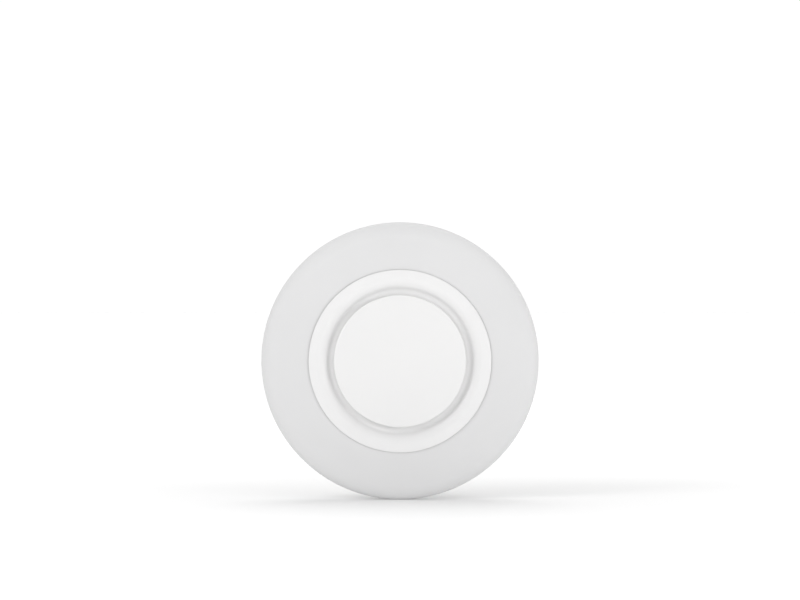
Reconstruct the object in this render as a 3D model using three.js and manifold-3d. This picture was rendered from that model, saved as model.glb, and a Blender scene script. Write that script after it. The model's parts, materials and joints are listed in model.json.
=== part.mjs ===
// A concealed horizontal-sidewall fire sprinkler head with a wide wall flange.
//
// Millimetres. +Y points into the wall, -Y into the room and +Z is up. The origin is on the head's axis, in
// the plane of the wall that the flange rests on. A turned piece is a lathe profile of [radius, y] points.
import * as THREE from "three";
import { mergeVertices } from "three/addons/utils/BufferGeometryUtils.js";
import Module from "manifold-3d";

const wasm = await Module();
wasm.setup();

// ---------------------------------------------------------------- driving dimensions

const CLEARANCE = 0.1; // between pieces that touch on the real head
const RIM_STEPS = 44; // facets round the trim that shows in the room
const CUP_STEPS = 30; // facets round the retainer and the cup
const BODY_STEPS = 22; // facets round the brass body
const PIN_STEPS = 12; // facets round pins, screw and bulb

const cover = {
  radius: 35, // a 70 mm drop-off cover plate
  rimY: -10.9, // front of its rim
  crown: 0.5, // how far its middle stands out past the rim
  sheet: 0.8,
  skirt: 1.2, // depth of the turned-down edge
  edge: 0.5, // radius of that edge
};

const flange = {
  radius: 73.4,
  faceY: -10, // front of its crown
  crownRadius: 59,
  crownDrop: 0.4, // how far the face falls away 11 mm either side of the crown
  crownReach: 11,
  roundStart: 65.6, // where the rounded rim begins
  roundEndY: -5.9, // where the rounded rim meets the side
  boreRadius: 41.2,
  wall: 2.6,
  ribs: 12,
  ribThickness: 1.6,
  ribBackY: -1.2,
};

const gasket = { inner: 66.5, outer: 70.7, depth: 2.3 };

const trim = {
  radius: 48.15,
  faceY: -10.6,
  sheet: 1.4,
  shoulder: 42.8, // where the flat face starts to roll into the groove round the cover
  roll: 5.6, // radius of that roll
  grooveOuter: 37.4,
  grooveInner: 36.5,
  grooveY: -7.3,
  lipOuter: 35.3, // raised lip behind the edge of the cover
  lipInner: 33.6,
  lipFoot: 32.4,
  lipY: -8,
  floorY: -6.2,
  floorSheet: 1.2,
  holeRadius: 29,
};

const retainer = {
  inner: 27.6,
  outer: 28.6,
  lipRadius: 31.5,
  lipThickness: 0.7,
  endY: 20,
  fingers: 6,
  slotWidth: 4,
  slotStartY: 3,
  beadHeight: 0.5,
  legs: 3,
  legWidth: 5,
  legSheet: 0.7,
  legTipRadius: 20.6,
};

const cup = {
  inner: 29.6,
  wall: 1.2,
  frontY: 1,
  lipRadius: 31.4,
  backY: 34.4,
  backSheet: 1.2,
  vents: 4,
  ventWidth: 9,
  ventHeight: 4,
  backVentRadius: 2.4,
  backVentReach: 21.5, // from the head's axis
};

const body = {
  seatY: 28.9,
  seatRadius: 7.6,
  orificeRadius: 5.6,
  inletRadius: 7.4,
  hexFlats: 25.4,
  hexFrontY: 29.4,
  hexBackY: 33,
  neckRadius: 11.4,
  neckEndY: 37.5,
  threadStartY: 40,
  endY: 54,
  threadRadius: 10.35, // crest radius at the small end of a 1/2 inch taper pipe thread
  threadTaper: 1 / 32, // radius gained per millimetre of length
  threadPitch: 1.814,
  threadDepth: 1.3,
  armWidth: 5,
  armOuter: 12,
  armInner: 9,
  crossbarRadius: 5.2,
  crossbarBackY: 12,
  spigotRadius: 4.2,
  spigotFrontY: 3.6,
  spigotBackY: 7.1,
};

const screw = { radius: 2.3, holeRadius: 2.45, frontY: 1.6, backY: 12.6, socketDepth: 0.9, slot: 0.8 };
const bulb = { radius: 1.5, frontY: 11.85, backY: 27.4 };
const cap = { radius: 6.4, frontY: 26.6, flange: 1, hubRadius: 3, hubEndY: 30.8, socketRadius: 1.9 };
const yoke = {
  frontY: 4.6,
  backY: 7,
  halfWidth: 6.2,
  shoulder: 6,
  collarRadius: 3.2,
  collarFrontY: 3.5,
  collarBackY: 7.5,
};
const pins = {
  spacing: 14, // from the head's axis
  radius: 1.2,
  headRadius: 2.2,
  headY: -10.2,
  endY: 27.6,
  stopRadius: 2.3,
  stopY: 25.7,
};
const deflector = {
  frontY: -9.6,
  sheet: 1.2,
  radius: 17,
  topZ: 11.6,
  hoodHalf: 13,
  hoodEndY: 2.5,
  slots: 5,
  slotSpread: 24, // degrees between slots
  slotWidth: 2,
  slotDepth: 6,
};
const coil = { radius: 2.1, wire: 0.28, turns: 6, stepsPerTurn: 8, sides: 5 };

// ---------------------------------------------------------------- finishes

const finish = (color, roughness, metalness = 0) =>
  new THREE.MeshStandardMaterial({ color, roughness, metalness });
const flangePlastic = finish(0xe2e2e2, 0.62);
const whitePaint = finish(0xf1f0ef, 0.5);
const foamRubber = finish(0x2b2c2e, 0.95);
const castBrass = finish(0xc39a4a, 0.42, 1);
const sheetBronze = finish(0xb98447, 0.38, 1);
const zincSteel = finish(0xb9bcc0, 0.4, 1);
const stainless = finish(0xc7c9cb, 0.28, 1);
const springSteel = finish(0x9a9da1, 0.35, 1);
const softSolder = finish(0x9da0a3, 0.5, 1);
const sealPlastic = finish(0xf4f4f0, 0.4);
const bulbGlass = finish(0xc2182a, 0.08);

// ---------------------------------------------------------------- helpers

const degrees = THREE.MathUtils.degToRad;

// Points on a quarter or other stretch of an ellipse, from one angle to another, in degrees.
function arc(centreR, centreY, radiusR, radiusY, from, to, steps) {
  return Array.from({ length: steps + 1 }, (_, i) => {
    const a = degrees(from + ((to - from) * i) / steps);
    return [centreR + radiusR * Math.cos(a), centreY + radiusY * Math.sin(a)];
  });
}

// A turned ring or disc about the Y axis. The profile may run either way round.
function turned(profile, steps) {
  const points = profile.map(([r, y]) => new THREE.Vector2(r < 1e-9 ? 0 : r, y));
  if (THREE.ShapeUtils.area(points) < 0) points.reverse();
  const onAxis = points.filter((p) => p.x === 0).length === 2;
  if (!onAxis) return new THREE.LatheGeometry([...points, points[0]], steps);
  // A profile with a stretch on the axis starts just after that stretch.
  const start = points.findIndex((p, i) => p.x === 0 && points.at(i - 1).x === 0);
  return new THREE.LatheGeometry([...points.slice(start), ...points.slice(0, start)], steps);
}

const tube = (inner, outer, fromY, toY, steps) =>
  turned([[inner, fromY], [outer, fromY], [outer, toY], [inner, toY]], steps);

// A round rod about the Y axis.
const rod = (radius, fromY, toY, steps) =>
  new THREE.CylinderGeometry(radius, radius, toY - fromY, steps).translate(0, (fromY + toY) / 2, 0);

function box(sizeX, sizeY, sizeZ, x, y, z) {
  return new THREE.BoxGeometry(sizeX, sizeY, sizeZ).translate(x, y, z);
}

// A geometry as a solid that can be joined and cut.
function solid(geometry) {
  const bare = geometry.index ? geometry.toNonIndexed() : geometry.clone();
  bare.deleteAttribute("normal");
  bare.deleteAttribute("uv");
  const merged = mergeVertices(bare, 1e-4);
  return new wasm.Manifold(
    new wasm.Mesh({
      numProp: 3,
      vertProperties: merged.attributes.position.array,
      triVerts: new Uint32Array(merged.index.array),
    }),
  );
}

// Such a solid back as a geometry.
function surface(made) {
  const mesh = made.getMesh();
  const position = new Float32Array(mesh.numVert * 3);
  for (let i = 0; i < mesh.numVert; i++) {
    position.set(mesh.vertProperties.subarray(i * mesh.numProp, i * mesh.numProp + 3), i * 3);
  }
  const geometry = new THREE.BufferGeometry();
  geometry.setAttribute("position", new THREE.BufferAttribute(position, 3));
  geometry.setIndex(new THREE.BufferAttribute(new Uint32Array(mesh.triVerts), 1));
  geometry.computeVertexNormals();
  return geometry;
}

// One body made by adding some geometries to the first and taking others away.
function carved(first, added, removed) {
  let made = solid(first);
  for (const extra of added) made = made.add(solid(extra));
  for (const cut of removed) made = made.subtract(solid(cut));
  return surface(made);
}

// A flat outline in the X-Z plane, given thickness from frontY into the wall.
function plate(outline, frontY, thickness) {
  return new THREE.ExtrudeGeometry(outline, { depth: thickness, bevelEnabled: false, curveSegments: 8 })
    .rotateX(Math.PI / 2)
    .translate(0, frontY + thickness, 0);
}

// A strip of sheet bent along [radius, y] points, as wide as given, standing at an angle above +X.
function bentStrip(path, thickness, width, angle) {
  const points = path.map(([r, y]) => new THREE.Vector2(r, y));
  const offset = (side) =>
    points.map((p, i) => {
      const next = points[Math.min(i + 1, points.length - 1)];
      const along = next.clone().sub(points[Math.max(i - 1, 0)]).normalize();
      return new THREE.Vector2(p.x - along.y * side, p.y + along.x * side);
    });
  const outline = new THREE.Shape([...offset(thickness / 2), ...offset(-thickness / 2).reverse()]);
  return new THREE.ExtrudeGeometry(outline, { depth: width, bevelEnabled: false })
    .translate(0, 0, -width / 2)
    .rotateY(degrees(-angle));
}

// The wire of a compression spring between two heights on the Y axis.
class SpringLine extends THREE.Curve {
  constructor(fromY, toY) {
    super();
    this.fromY = fromY;
    this.toY = toY;
  }
  getPoint(t) {
    const turn = t * coil.turns * Math.PI * 2;
    return new THREE.Vector3(
      Math.cos(turn) * coil.radius,
      THREE.MathUtils.lerp(this.fromY, this.toY, t),
      Math.sin(turn) * coil.radius,
    );
  }
}

// ---------------------------------------------------------------- the trim in the room

// Height of the flange's gently crowned face at a radius.
const flangeFace = (r) =>
  flange.faceY + flange.crownDrop * ((r - flange.crownRadius) / flange.crownReach) ** 2;

function wallFlange() {
  const seatRadius = trim.radius + 0.25;
  const seatY = trim.faceY + trim.sheet + CLEARANCE;
  const chamfer = 0.3;
  const cavityInner = flange.boreRadius + flange.wall;
  const cavityOuter = gasket.inner - 2.2;
  const cavityY = seatY + 1.9;
  const side = flange.radius - flange.roundStart;
  const crown = Array.from({ length: 2 }, (_, i) => {
    const r = THREE.MathUtils.lerp(seatRadius + chamfer, flange.roundStart, i / 2);
    return [r, flangeFace(r)];
  });
  const roundHeight = flange.roundEndY - flangeFace(flange.roundStart);
  const shell = turned(
    [
      [flange.boreRadius, seatY],
      [seatRadius, seatY],
      [seatRadius, flangeFace(seatRadius) + chamfer],
      ...crown,
      ...arc(flange.roundStart, flange.roundEndY, side, roundHeight, -90, 0, 4),
      [flange.radius, -0.5],
      [flange.radius - 0.5, 0],
      [gasket.outer + 0.2, 0],
      [gasket.outer + 0.2, -gasket.depth - CLEARANCE],
      [gasket.inner - 0.2, -gasket.depth - CLEARANCE],
      [gasket.inner - 0.2, -0.4],
      [cavityOuter, -0.4],
      [cavityOuter, cavityY],
      [cavityInner, cavityY],
      [cavityInner, -0.6],
      [flange.boreRadius, -0.6],
    ],
    RIM_STEPS,
  );
  const ribLength = cavityOuter - cavityInner + 1;
  const ribRadius = (cavityInner + cavityOuter) / 2;
  const ribFrontY = cavityY - 0.5;
  const ribHeight = flange.ribBackY - ribFrontY;
  const ribs = Array.from({ length: flange.ribs }, (_, i) =>
    box(ribLength, ribHeight, flange.ribThickness, ribRadius, ribFrontY + ribHeight / 2, 0)
      .rotateY((i / flange.ribs) * Math.PI * 2),
  );
  return carved(shell, ribs, []);
}

const flangeGasket = () => tube(gasket.inner, gasket.outer, -gasket.depth, 0, RIM_STEPS);

function trimRing() {
  const backY = trim.faceY + trim.sheet;
  const floorBackY = trim.floorY + trim.floorSheet;
  const backRoll = 1.4;
  const backCorner = trim.grooveOuter + trim.floorSheet + 0.9;
  return turned(
    [
      [trim.radius, backY],
      [trim.radius, trim.faceY + 0.5],
      [trim.radius - 0.15, trim.faceY + 0.15],
      [trim.radius - 0.5, trim.faceY],
      ...arc(trim.shoulder, trim.faceY + trim.roll, trim.roll, trim.roll, 270, 220, 3),
      [trim.grooveOuter, trim.grooveY],
      [trim.grooveInner, trim.grooveY],
      [trim.lipOuter, trim.lipY],
      [trim.lipInner, trim.lipY],
      [trim.lipFoot, trim.floorY],
      [trim.holeRadius, trim.floorY],
      [trim.holeRadius, floorBackY],
      [backCorner, floorBackY],
      ...arc(backCorner + backRoll, backY + backRoll, backRoll, backRoll, 180, 270, 2),
    ],
    RIM_STEPS,
  );
}

// Height of the cover's crowned sheet at a radius, for its front face.
const coverFront = (r) => cover.rimY - cover.crown * (1 - (r / cover.radius) ** 2);

function coverPlate() {
  const inside = cover.radius - cover.sheet;
  const stations = [0.5, 0.85].map((share) => share * inside);
  return turned(
    [
      [0, coverFront(0)],
      ...stations.map((r) => [r, coverFront(r)]),
      ...arc(cover.radius - cover.edge, cover.rimY + cover.edge, cover.edge, cover.edge, -90, 0, 2),
      [cover.radius, cover.rimY + cover.skirt],
      [inside, cover.rimY + cover.skirt],
      [inside, coverFront(inside) + cover.sheet],
      ...stations.toReversed().map((r) => [r, coverFront(r) + cover.sheet]),
      [0, coverFront(0) + cover.sheet],
    ],
    RIM_STEPS,
  );
}

// ---------------------------------------------------------------- the retainer that carries the cover

const lipBackY = trim.floorY - CLEARANCE;
const lipFrontY = lipBackY - retainer.lipThickness;
const legAngles = Array.from({ length: retainer.legs }, (_, i) => 90 + (i * 360) / retainer.legs);
const legTipY = -9.6;

function coverRetainer() {
  const beadY = trim.floorY + trim.floorSheet + CLEARANCE;
  const tabY = retainer.endY - 3.5;
  const sleeve = turned(
    [
      [retainer.inner, lipFrontY],
      [retainer.lipRadius, lipFrontY],
      [retainer.lipRadius, lipBackY],
      [retainer.outer, lipBackY],
      [retainer.outer, beadY],
      [retainer.outer + 0.9, beadY],
      [retainer.outer + 0.9, beadY + 0.6],
      [retainer.outer, beadY + 1],
      [retainer.outer, tabY],
      [retainer.outer + retainer.beadHeight, tabY + 0.7],
      [retainer.outer + retainer.beadHeight, tabY + 1.3],
      [retainer.outer, tabY + 2],
      [retainer.outer, retainer.endY],
      [retainer.inner, retainer.endY],
    ],
    CUP_STEPS,
  );
  const legPath = [
    [retainer.inner + 0.6, lipFrontY + retainer.legSheet / 2],
    [retainer.inner - 2, lipFrontY + retainer.legSheet / 2],
    [retainer.inner - 4, legTipY],
    [retainer.legTipRadius, legTipY],
  ];
  const legs = legAngles.map((angle) => bentStrip(legPath, retainer.legSheet, retainer.legWidth, angle));
  const slotLength = retainer.endY - retainer.slotStartY + 1;
  const slots = Array.from({ length: retainer.fingers }, (_, i) =>
    box(6, slotLength, retainer.slotWidth, retainer.outer, retainer.slotStartY + slotLength / 2, 0)
      .rotateY(degrees((i * 360) / retainer.fingers)),
  );
  return carved(sleeve, legs, slots);
}

// A pad of fusible solder between the tip of one leg and the back of the cover.
function solderPad(angle) {
  const frontY = coverFront(retainer.legTipRadius) + cover.sheet + CLEARANCE;
  const backY = legTipY - retainer.legSheet / 2 - 0.05;
  return box(2.6, backY - frontY, 4, retainer.legTipRadius + 1.4, (frontY + backY) / 2, 0)
    .rotateY(degrees(-angle));
}

// The leaf spring that throws the cover off once the solder lets go.
function ejectionSpring() {
  const sheet = 0.35;
  const footY = lipFrontY - CLEARANCE - sheet / 2;
  const path = [[31.2, footY], [28.2, footY], [25.4, -9.4], [24, -9.85], [22.6, -9.4]];
  return bentStrip(path, sheet, 5, legAngles[0] - 60);
}

// ---------------------------------------------------------------- the cup behind the wall

function supportCup() {
  const outer = cup.inner + cup.wall;
  const corner = 2;
  const shell = turned(
    [
      [cup.inner, cup.frontY],
      [cup.lipRadius, cup.frontY],
      [cup.lipRadius, cup.frontY + 1],
      [outer, cup.frontY + 1.4],
      ...arc(outer - corner, cup.backY - corner, corner, corner, 0, 90, 2),
      [body.neckRadius + 0.2, cup.backY],
      [body.neckRadius + 0.2, cup.backY - cup.backSheet],
      [cup.inner - 1, cup.backY - cup.backSheet],
      [cup.inner, cup.backY - cup.backSheet - 1],
    ],
    CUP_STEPS,
  );
  const sideVents = Array.from({ length: cup.vents }, (_, i) =>
    box(6, cup.ventHeight, cup.ventWidth, outer, cup.backY - 7, 0)
      .rotateY(degrees(45 + (i * 360) / cup.vents)),
  );
  const backVents = Array.from({ length: cup.vents }, (_, i) =>
    rod(cup.backVentRadius, cup.backY - 3, cup.backY + 1, PIN_STEPS)
      .translate(cup.backVentReach, 0, 0)
      .rotateY(degrees((i * 360) / cup.vents)),
  );
  return carved(shell, [], [...sideVents, ...backVents]);
}

const cupLockRing = () =>
  tube(body.neckRadius + 0.15, body.neckRadius + 3.6, cup.backY + 0.2, cup.backY + 1.8, BODY_STEPS);

// ---------------------------------------------------------------- the sprinkler

// Ridges of the taper pipe thread, as rings one pitch apart.
function threadProfile() {
  const turns = Math.floor((body.endY - body.threadStartY - 1) / body.threadPitch);
  const crest = (y) => body.threadRadius + (body.endY - y) * body.threadTaper;
  return Array.from({ length: turns }, (_, i) => {
    const y = body.threadStartY + i * body.threadPitch;
    const peakY = y + body.threadPitch / 2;
    return [[crest(y) - body.threadDepth, y], [crest(peakY), peakY]];
  }).flat();
}

function sprinklerFrame() {
  const threadRoot = body.threadRadius - body.threadDepth;
  const shank = turned(
    [
      [0, body.hexFrontY],
      [body.neckRadius, body.hexFrontY],
      [body.neckRadius, body.neckEndY],
      [threadRoot + 0.4, body.neckEndY + 1.5],
      ...threadProfile(),
      [threadRoot, body.endY - 0.6],
      [threadRoot - 0.4, body.endY],
      [0, body.endY],
    ],
    BODY_STEPS,
  );
  const hexHeight = body.hexBackY - body.hexFrontY;
  const hexCorner = body.hexFlats / 2 / Math.cos(Math.PI / 6);
  const hex = new THREE.CylinderGeometry(hexCorner, hexCorner, hexHeight, 6)
    .rotateY(Math.PI / 6)
    .translate(0, (body.hexFrontY + body.hexBackY) / 2, 0);
  const seat = tube(body.orificeRadius - 1, body.seatRadius, body.seatY, body.hexFrontY + 1, BODY_STEPS);
  const crossbar = turned(
    [
      [0, body.spigotFrontY],
      [body.spigotRadius, body.spigotFrontY],
      [body.spigotRadius, body.spigotBackY],
      [body.crossbarRadius, body.spigotBackY],
      [body.crossbarRadius, body.crossbarBackY - 1],
      [body.crossbarRadius - 1, body.crossbarBackY],
      [0, body.crossbarBackY],
    ],
    BODY_STEPS,
  );
  const waterway = turned(
    [
      [0, body.seatY - 1],
      [body.orificeRadius, body.seatY - 1],
      [body.orificeRadius, body.hexBackY + 4],
      [body.inletRadius, body.endY - 6],
      [body.inletRadius, body.endY + 1],
      [0, body.endY + 1],
    ],
    BODY_STEPS,
  );
  const screwHole = turned(
    [[0, body.spigotFrontY - 1], [screw.holeRadius, body.spigotFrontY - 1], [screw.holeRadius, 14], [0, 14]],
    PIN_STEPS,
  );
  return carved(shank, [hex, seat, crossbar, frameArm(1), frameArm(-1)], [waterway, screwHole]);
}

// One of the two arms from the hexagon to the crossbar, above or below the bulb.
function frameArm(side) {
  const outline = new THREE.Shape();
  outline.moveTo(body.armOuter, body.hexFrontY + 0.5);
  outline.lineTo(body.armOuter, 22);
  outline.bezierCurveTo(body.armOuter, 15, 9.5, 10.5, 3.5, body.spigotBackY + 0.6);
  outline.lineTo(3.5, body.crossbarBackY - 0.6);
  outline.bezierCurveTo(6.6, 14.4, body.armInner, 17.5, body.armInner, 22);
  outline.lineTo(body.armInner, body.hexFrontY + 0.5);
  outline.closePath();
  return new THREE.ExtrudeGeometry(outline, { depth: body.armWidth, bevelEnabled: false, curveSegments: 4 })
    .translate(0, 0, -body.armWidth / 2)
    .rotateY((-side * Math.PI) / 2);
}

function loadScrew() {
  const blank = turned(
    [
      [0, screw.frontY],
      [screw.radius - 0.3, screw.frontY],
      [screw.radius, screw.frontY + 0.3],
      [screw.radius, screw.backY - 0.3],
      [screw.radius - 0.3, screw.backY],
      [1.2, screw.backY],
      [0.6, screw.backY - screw.socketDepth],
      [0, screw.backY - screw.socketDepth],
    ],
    PIN_STEPS,
  );
  return carved(blank, [], [box(6, 2, screw.slot, 0, screw.frontY, 0)]);
}

function glassBulb() {
  return turned(
    [
      [0, bulb.frontY],
      [0.45, bulb.frontY + 0.1],
      [0.5, bulb.frontY + 0.9],
      ...arc(0.1, bulb.frontY + 2.4, bulb.radius - 0.1, 1.3, -60, 0, 2),
      ...arc(0, bulb.backY - 1.2, bulb.radius, 1.2, 0, 90, 3),
    ],
    PIN_STEPS,
  );
}

function pipCap() {
  return turned(
    [
      [0, cap.frontY + 0.95],
      [cap.socketRadius - 0.5, cap.frontY + 0.9],
      [cap.socketRadius, cap.frontY],
      [cap.radius, cap.frontY],
      [cap.radius, cap.frontY + cap.flange],
      [cap.hubRadius, cap.frontY + cap.flange],
      [cap.hubRadius, cap.hubEndY - 0.6],
      [cap.hubRadius - 0.6, cap.hubEndY],
      [0, cap.hubEndY],
    ],
    BODY_STEPS,
  );
}

// The coned spring washer behind the cap, and the soft ring that it presses on the seat.
function bellevilleSpring() {
  const innerY = cap.frontY + cap.flange + CLEARANCE;
  const sheet = 0.45;
  const rise = 0.4;
  return turned(
    [
      [cap.hubRadius + 0.3, innerY],
      [cap.radius + 0.6, innerY + rise],
      [cap.radius + 0.6, innerY + rise + sheet],
      [cap.hubRadius + 0.3, innerY + sheet],
    ],
    BODY_STEPS,
  );
}

const ptfeSeal = () =>
  tube(body.orificeRadius + 0.2, cap.radius + 0.8, body.seatY - 0.25, body.seatY - 0.05, BODY_STEPS);

// ---------------------------------------------------------------- the deflector and its guides

function guideYoke() {
  const reach = pins.spacing;
  const outline = new THREE.Shape();
  outline.moveTo(-reach, -yoke.collarRadius);
  outline.lineTo(-yoke.shoulder, -yoke.halfWidth);
  outline.lineTo(yoke.shoulder, -yoke.halfWidth);
  outline.lineTo(reach, -yoke.collarRadius);
  outline.absarc(reach, 0, yoke.collarRadius, -Math.PI / 2, Math.PI / 2, false);
  outline.lineTo(yoke.shoulder, yoke.halfWidth);
  outline.lineTo(-yoke.shoulder, yoke.halfWidth);
  outline.lineTo(-reach, yoke.collarRadius);
  outline.absarc(-reach, 0, yoke.collarRadius, Math.PI / 2, (Math.PI * 3) / 2, false);
  const bar = plate(outline, yoke.frontY, yoke.backY - yoke.frontY);
  const collars = [-reach, reach].map((x) =>
    rod(yoke.collarRadius, yoke.collarFrontY, yoke.collarBackY, PIN_STEPS).translate(x, 0, 0),
  );
  const holes = [-reach, reach].map((x) =>
    rod(pins.radius + 0.18, yoke.collarFrontY - 1, yoke.collarBackY + 1, PIN_STEPS).translate(x, 0, 0),
  );
  const middle = rod(body.spigotRadius + 0.15, yoke.frontY - 1, yoke.backY + 1, BODY_STEPS);
  return carved(bar, collars, [...holes, middle]);
}

function yokeRing() {
  const inner = body.spigotRadius + CLEARANCE;
  return tube(inner, inner + 1.4, body.spigotFrontY + 0.3, yoke.frontY - CLEARANCE, BODY_STEPS);
}

function deflectorPlate() {
  const outline = new THREE.Shape();
  outline.moveTo(deflector.hoodHalf, deflector.topZ);
  outline.lineTo(-deflector.hoodHalf, deflector.topZ);
  outline.lineTo(-deflector.radius + 0.6, 4.5);
  outline.absarc(0, 0, deflector.radius, degrees(165), degrees(375), false);
  outline.closePath();
  const face = plate(outline, deflector.frontY, deflector.sheet);
  const hoodLength = deflector.hoodEndY - deflector.frontY;
  const hood = box(
    deflector.hoodHalf * 2,
    hoodLength,
    deflector.sheet,
    0,
    deflector.frontY + hoodLength / 2,
    deflector.topZ - deflector.sheet / 2,
  );
  const slots = Array.from({ length: deflector.slots }, (_, i) => {
    const angle = (i - (deflector.slots - 1) / 2) * deflector.slotSpread;
    return box(deflector.slotWidth, 4, deflector.slotDepth * 2, 0, deflector.frontY, -deflector.radius)
      .rotateY(degrees(angle));
  });
  const pinHoles = [-pins.spacing, pins.spacing].map((x) =>
    rod(pins.radius + 0.06, deflector.frontY - 1, deflector.frontY + 2, PIN_STEPS).translate(x, 0, 0),
  );
  return carved(face, [hood], [...slots, ...pinHoles]);
}

// The pins and the coils are turned about the Y axis here, and the scene graph sets them to either side.
const guidePin = () =>
  turned(
    [
      [0, pins.headY],
      [pins.headRadius - 0.3, pins.headY],
      [pins.headRadius, pins.headY + 0.25],
      [pins.headRadius, deflector.frontY - 0.05],
      [pins.radius, deflector.frontY - 0.05],
      [pins.radius, pins.endY - 0.4],
      [pins.radius - 0.4, pins.endY],
      [0, pins.endY],
    ],
    PIN_STEPS,
  );

const pinStop = () => tube(pins.radius + 0.08, pins.stopRadius, pins.stopY, pins.stopY + 1.4, PIN_STEPS);

function deflectorSpring() {
  const wire = new THREE.Shape(
    Array.from({ length: coil.sides }, (_, i) => {
      const a = (i / coil.sides) * Math.PI * 2;
      return new THREE.Vector2(coil.wire * Math.cos(a), coil.wire * Math.sin(a));
    }),
  );
  const gap = coil.wire + CLEARANCE;
  const line = new SpringLine(deflector.frontY + deflector.sheet + gap, yoke.collarFrontY - gap);
  return new THREE.ExtrudeGeometry(wire, { steps: coil.turns * coil.stepsPerTurn, extrudePath: line });
}

// ---------------------------------------------------------------- the assembly

function piece(name, geometry, material, parent) {
  const mesh = new THREE.Mesh(geometry, material);
  mesh.name = name;
  parent.add(mesh);
  return mesh;
}

const head = new THREE.Group();
piece("sprinkler_frame", sprinklerFrame(), castBrass, head);
piece("support_cup", supportCup(), zincSteel, head);
piece("cup_lock_ring", cupLockRing(), zincSteel, head);
piece("load_screw", loadScrew(), stainless, head);
piece("glass_bulb", glassBulb(), bulbGlass, head);
piece("guide_yoke", guideYoke(), sheetBronze, head);
piece("yoke_retaining_ring", yokeRing(), springSteel, head);

const seal = new THREE.Group();
piece("pip_cap", pipCap(), sheetBronze, seal);
piece("belleville_spring", bellevilleSpring(), springSteel, seal);
piece("ptfe_seal", ptfeSeal(), sealPlastic, seal);

const drop = new THREE.Group();
piece("deflector", deflectorPlate(), sheetBronze, drop);
for (const [side, x] of [["left", -pins.spacing], ["right", pins.spacing]]) {
  piece("guide_pin_" + side, guidePin(), stainless, drop).position.x = x;
  piece("pin_stop_" + side, pinStop(), springSteel, drop).position.x = x;
  piece("deflector_spring_" + side, deflectorSpring(), springSteel, head).position.x = x;
}

const escutcheon = new THREE.Group();
piece("wall_flange", wallFlange(), flangePlastic, escutcheon);
piece("flange_gasket", flangeGasket(), foamRubber, escutcheon);
piece("trim_ring", trimRing(), whitePaint, escutcheon);
piece("cover_retainer", coverRetainer(), castBrass, escutcheon);
piece("ejection_spring", ejectionSpring(), springSteel, escutcheon);

const coverGroup = new THREE.Group();
piece("cover_plate", coverPlate(), whitePaint, coverGroup);
legAngles.forEach((angle, i) => piece("solder_pad_" + (i + 1), solderPad(angle), softSolder, coverGroup));

const sprinkler = new THREE.Group();
sprinkler.add(head, seal, drop, escutcheon, coverGroup);

export default sprinkler;
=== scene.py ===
"""Looks of a concealed sidewall fire sprinkler head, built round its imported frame.

Metres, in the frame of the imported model: -Y faces the room, +Y goes into the wall and +Z is up.
Outlines are written in millimetres and scaled as they are drawn. An angle is in degrees, from
+X towards +Z.
"""
import json
import math

import bmesh
import bpy
from bpy.props import FloatProperty, FloatVectorProperty, IntProperty
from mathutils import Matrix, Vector


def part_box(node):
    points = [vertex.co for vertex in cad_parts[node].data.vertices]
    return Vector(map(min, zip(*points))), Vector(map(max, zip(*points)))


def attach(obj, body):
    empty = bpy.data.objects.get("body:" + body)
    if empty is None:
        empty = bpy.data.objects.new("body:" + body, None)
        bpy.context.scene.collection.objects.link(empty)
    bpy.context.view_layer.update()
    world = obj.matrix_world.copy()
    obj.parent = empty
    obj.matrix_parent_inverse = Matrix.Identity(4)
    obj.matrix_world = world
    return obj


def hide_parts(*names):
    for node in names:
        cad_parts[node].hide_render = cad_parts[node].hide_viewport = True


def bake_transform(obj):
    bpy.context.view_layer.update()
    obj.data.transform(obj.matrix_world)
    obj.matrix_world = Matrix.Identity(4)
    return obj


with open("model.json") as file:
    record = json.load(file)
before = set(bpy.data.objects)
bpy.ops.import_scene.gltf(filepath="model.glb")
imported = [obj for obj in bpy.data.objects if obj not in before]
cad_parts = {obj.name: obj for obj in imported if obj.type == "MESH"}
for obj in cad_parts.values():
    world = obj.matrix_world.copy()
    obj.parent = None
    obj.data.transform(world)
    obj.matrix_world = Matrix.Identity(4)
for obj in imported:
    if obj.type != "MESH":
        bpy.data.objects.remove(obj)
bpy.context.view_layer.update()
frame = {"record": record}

bl_info = {
    "name": "Concealed Sprinkler Head",
    "version": (1, 0, 0),
    "blender": (4, 5, 0),
    "location": "View3D > Sidebar > Sprinkler",
    "description": "Builds the fine pieces and finishes of a concealed sprinkler head",
    "category": "Add Mesh",
}

MM = 0.001
RING_SHEET = 1.2
RECORD = frame["record"]
BODY_OF = {node: body for body, nodes in RECORD["behaviour"]["bodies"].items() for node in nodes}


# ---- sizes and colours a user would change


class TrimSettings(bpy.types.PropertyGroup):
    """What shows in the room."""

    facets: IntProperty(
        name="Facets", description="Steps round the flange, trim ring and cover",
        default=192, min=48, max=256,
    )
    flange_colour: FloatVectorProperty(
        name="Flange colour", description="Moulded wall flange",
        subtype="COLOR", default=(0.676, 0.675, 0.678),
    )
    ring_colour: FloatVectorProperty(
        name="Ring colour", description="Paint on the trim ring",
        subtype="COLOR", default=(0.775, 0.772, 0.772),
    )
    cover_colour: FloatVectorProperty(
        name="Cover colour", description="Paint on the cover",
        subtype="COLOR", default=(0.776, 0.773, 0.771),
    )
    groove_rounding: FloatProperty(
        name="Groove rounding", description="Roll of the ring into its groove",
        default=3.0 * MM, unit="LENGTH",
    )
    groove_depth: FloatProperty(
        name="Groove depth", description="Depth of the groove round the cover",
        default=3.5 * MM, unit="LENGTH",
    )
    rim_width: FloatProperty(
        name="Rim width", description="Width of the flange's rolled rim", default=7.8 * MM, unit="LENGTH"
    )
    rim_depth: FloatProperty(
        name="Rim depth", description="How far back the rolled rim goes", default=4.0 * MM, unit="LENGTH"
    )


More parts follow.
